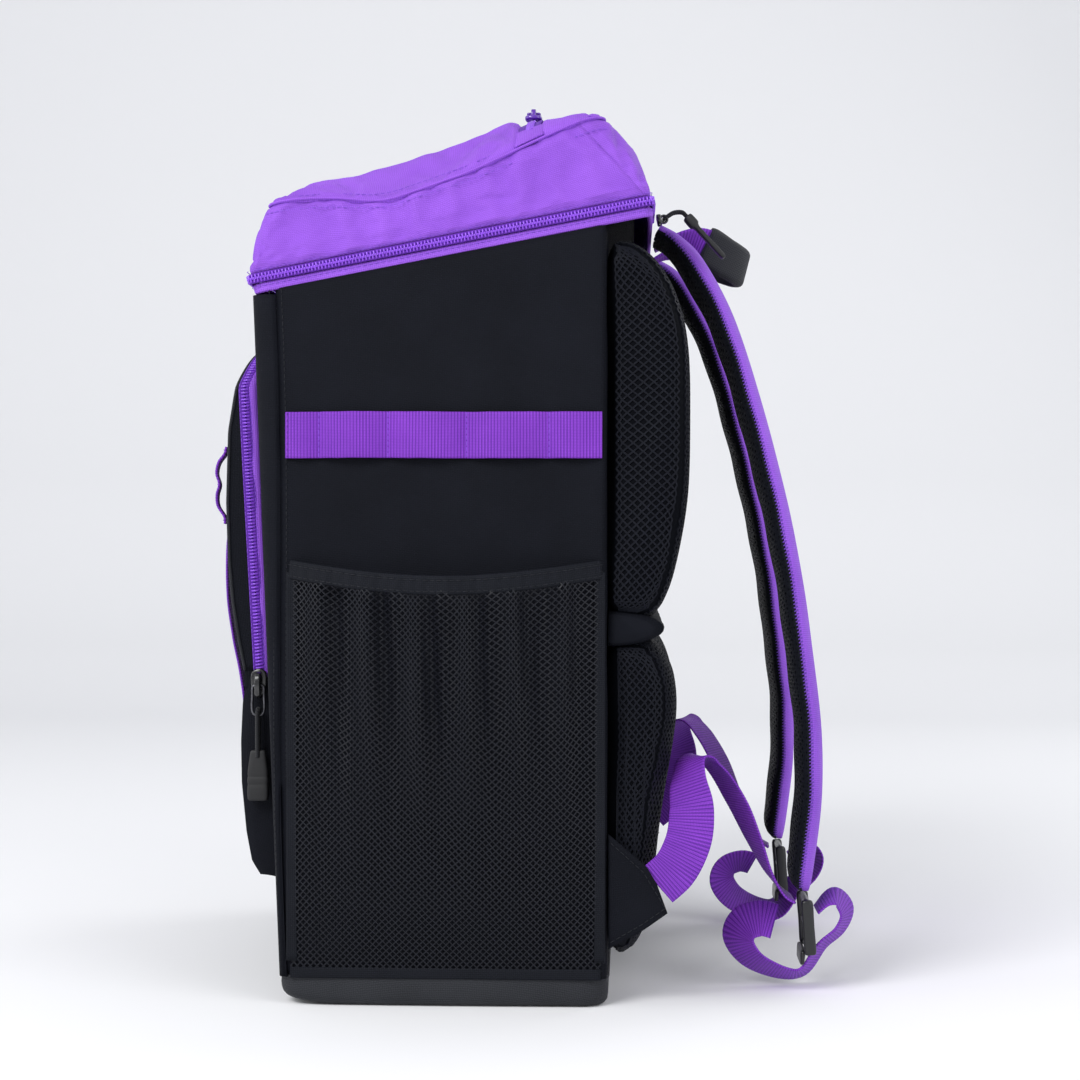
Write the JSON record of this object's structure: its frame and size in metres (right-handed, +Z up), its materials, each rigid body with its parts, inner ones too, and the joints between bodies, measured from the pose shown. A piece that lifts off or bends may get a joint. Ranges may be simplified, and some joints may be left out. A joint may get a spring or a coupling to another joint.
{
  "type": "skate backpack",
  "caption": "Upright skate backpack with a zipped hooded lid, fold-down front pocket, mesh side pockets, padded mesh back and shoulder straps.",
  "frame": {"origin": "the middle of the flat base face that the bag stands on", "axes": "+Z up, +Y towards the wearer's back, +X towards the wearer's right"},
  "size_m": [0.3406, 0.3647, 0.49],
  "materials": {
    "purple_fabric": "matte",
    "black_fabric": "matte",
    "zip_tape": "satin",
    "purple_webbing": "satin",
    "black_netting": "satin",
    "air_mesh": "matte",
    "black_binding": "satin",
    "stiff_board": "matte",
    "foam": "matte",
    "black_metal": "gloss",
    "black_rubber": "matte",
    "black_cord": "matte",
    "black_plastic": "satin"
  },
  "bodies": {
    "bag": {"side_panel_right": "black_fabric", "side_panel_left": "black_fabric", "front_panel": "black_fabric", "back_panel": "black_fabric", "base_boot": "black_fabric", "base_board": "stiff_board", "frame_sheet": "stiff_board", "collar_band": "purple_fabric", "lid_zip_lower": "zip_tape", "lid_hinge_binding": "purple_fabric", "side_strip_right": "purple_webbing", "side_strip_left": "purple_webbing", "mesh_pocket_right": "black_netting", "mesh_pocket_left": "black_netting", "pocket_elastic_right": "black_binding", "pocket_elastic_left": "black_binding", "back_pad_right": "air_mesh", "back_pad_left": "air_mesh", "lumbar_pad": "air_mesh", "anchor_wing_right": "black_fabric", "anchor_wing_left": "black_fabric", "pocket_gusset": "purple_fabric", "pocket_zip_inner": "zip_tape", "pocket_lower_panel": "black_fabric", "lower_webbing_right": "purple_webbing", "lower_webbing_left": "purple_webbing"},
    "lid": {"lid_top_front": "purple_fabric", "lid_top_rear": "purple_fabric", "lid_skirt": "purple_fabric", "lid_lining": "black_fabric", "lid_zip_upper": "zip_tape", "lid_pocket_zip": "zip_tape", "lid_patch": "purple_fabric"},
    "lid_pocket_slider": {"lid_pocket_slider": "black_metal"},
    "lid_pocket_pull": {"lid_pocket_pull": "black_rubber"},
    "lid_slider": {"lid_slider": "black_metal"},
    "lid_puller": {"lid_pull_cord": "black_cord", "lid_pull_grip": "black_rubber"},
    "front_flap": {"pocket_front_panel": "black_fabric", "pocket_zip_outer": "zip_tape", "webbing_tab_right": "purple_webbing", "webbing_tab_left": "purple_webbing", "centre_strap": "purple_webbing"},
    "pocket_slider": {"pocket_slider": "black_metal"},
    "pocket_puller": {"pocket_wire_loop": "black_metal", "pocket_pull_cord": "black_cord", "pocket_pull_grip": "black_rubber"},
    "grab_handle": {"grab_handle": "purple_webbing", "handle_sleeve": "black_fabric"},
    "strap_right": {"strap_cover_right": "purple_fabric", "strap_foam_right": "foam", "strap_mesh_right": "air_mesh"},
    "lock_right": {"ladder_lock_right": "black_plastic", "webbing_tail_right": "purple_webbing"},
    "strap_left": {"strap_cover_left": "purple_fabric", "strap_foam_left": "foam", "strap_mesh_left": "air_mesh"},
    "lock_left": {"ladder_lock_left": "black_plastic", "webbing_tail_left": "purple_webbing"}
  },
  "joints": [
    {"name": "lid_hinge", "type": "hinge", "parent": "bag", "child": "lid", "pos_m": [0, 0.11313, 0.42957], "axis": [-1, 0, 0], "range_deg": [0, 90], "deforming": ["lid_hinge_binding"]},
    {"name": "lid_pocket_run", "type": "slide", "parent": "lid", "child": "lid_pocket_slider", "axis": [-1, 0, 0], "range_m": [0, 0.184]},
    {"name": "lid_pocket_pull_hinge", "type": "hinge", "parent": "lid_pocket_slider", "child": "lid_pocket_pull", "pos_m": [0.092, 0.046, 0.48793], "axis": [0, 1, 0], "range_deg": [0, 160]},
    {"name": "lid_slider_run", "type": "slide", "parent": "bag", "child": "lid_slider", "axis": [1, 0, 0], "range_m": [0, 0.032]},
    {"name": "lid_puller_hinge", "type": "hinge", "parent": "lid_slider", "child": "lid_puller", "pos_m": [0.11, 0.11848, 0.4255], "axis": [1, 0, 0], "range_deg": [-30, 20]},
    {"name": "flap_hinge", "type": "hinge", "parent": "bag", "child": "front_flap", "pos_m": [0, -0.1215, 0.174], "axis": [1, 0, 0], "range_deg": [0, 95], "deforming": ["centre_strap"]},
    {"name": "pocket_slider_run", "type": "slide", "parent": "bag", "child": "pocket_slider", "axis": [0, -0.0549, 0.9985], "range_m": [0, 0.11]},
    {"name": "pocket_pull_hinge", "type": "hinge", "parent": "pocket_slider", "child": "pocket_puller", "pos_m": [0.1233, -0.1038, 0.169], "axis": [0, -1, 0], "range_deg": [0, 160]},
    {"name": "handle_hinge", "type": "hinge", "parent": "bag", "child": "grab_handle", "pos_m": [0, 0.1145, 0.421], "axis": [1, 0, 0], "range_deg": [-40, 10], "stiffness_Nm_per_rad": 0.3},
    {"name": "strap_right_hinge", "type": "hinge", "parent": "bag", "child": "strap_right", "pos_m": [0, 0.116, 0.421], "axis": [1, 0, 0], "range_deg": [-6, 16], "stiffness_Nm_per_rad": 3, "deforming": ["lower_webbing_right"]},
    {"name": "lock_right_hinge", "type": "hinge", "parent": "strap_right", "child": "lock_right", "pos_m": [0, 0.197, 0.0532], "axis": [1, 0, 0], "range_deg": [-18, 18]},
    {"name": "strap_left_hinge", "type": "hinge", "parent": "bag", "child": "strap_left", "pos_m": [0, 0.116, 0.421], "axis": [1, 0, 0], "range_deg": [-6, 16], "stiffness_Nm_per_rad": 3, "deforming": ["lower_webbing_left"]},
    {"name": "lock_left_hinge", "type": "hinge", "parent": "strap_left", "child": "lock_left", "pos_m": [0, 0.197, 0.0532], "axis": [1, 0, 0], "range_deg": [-18, 18]}
  ]
}
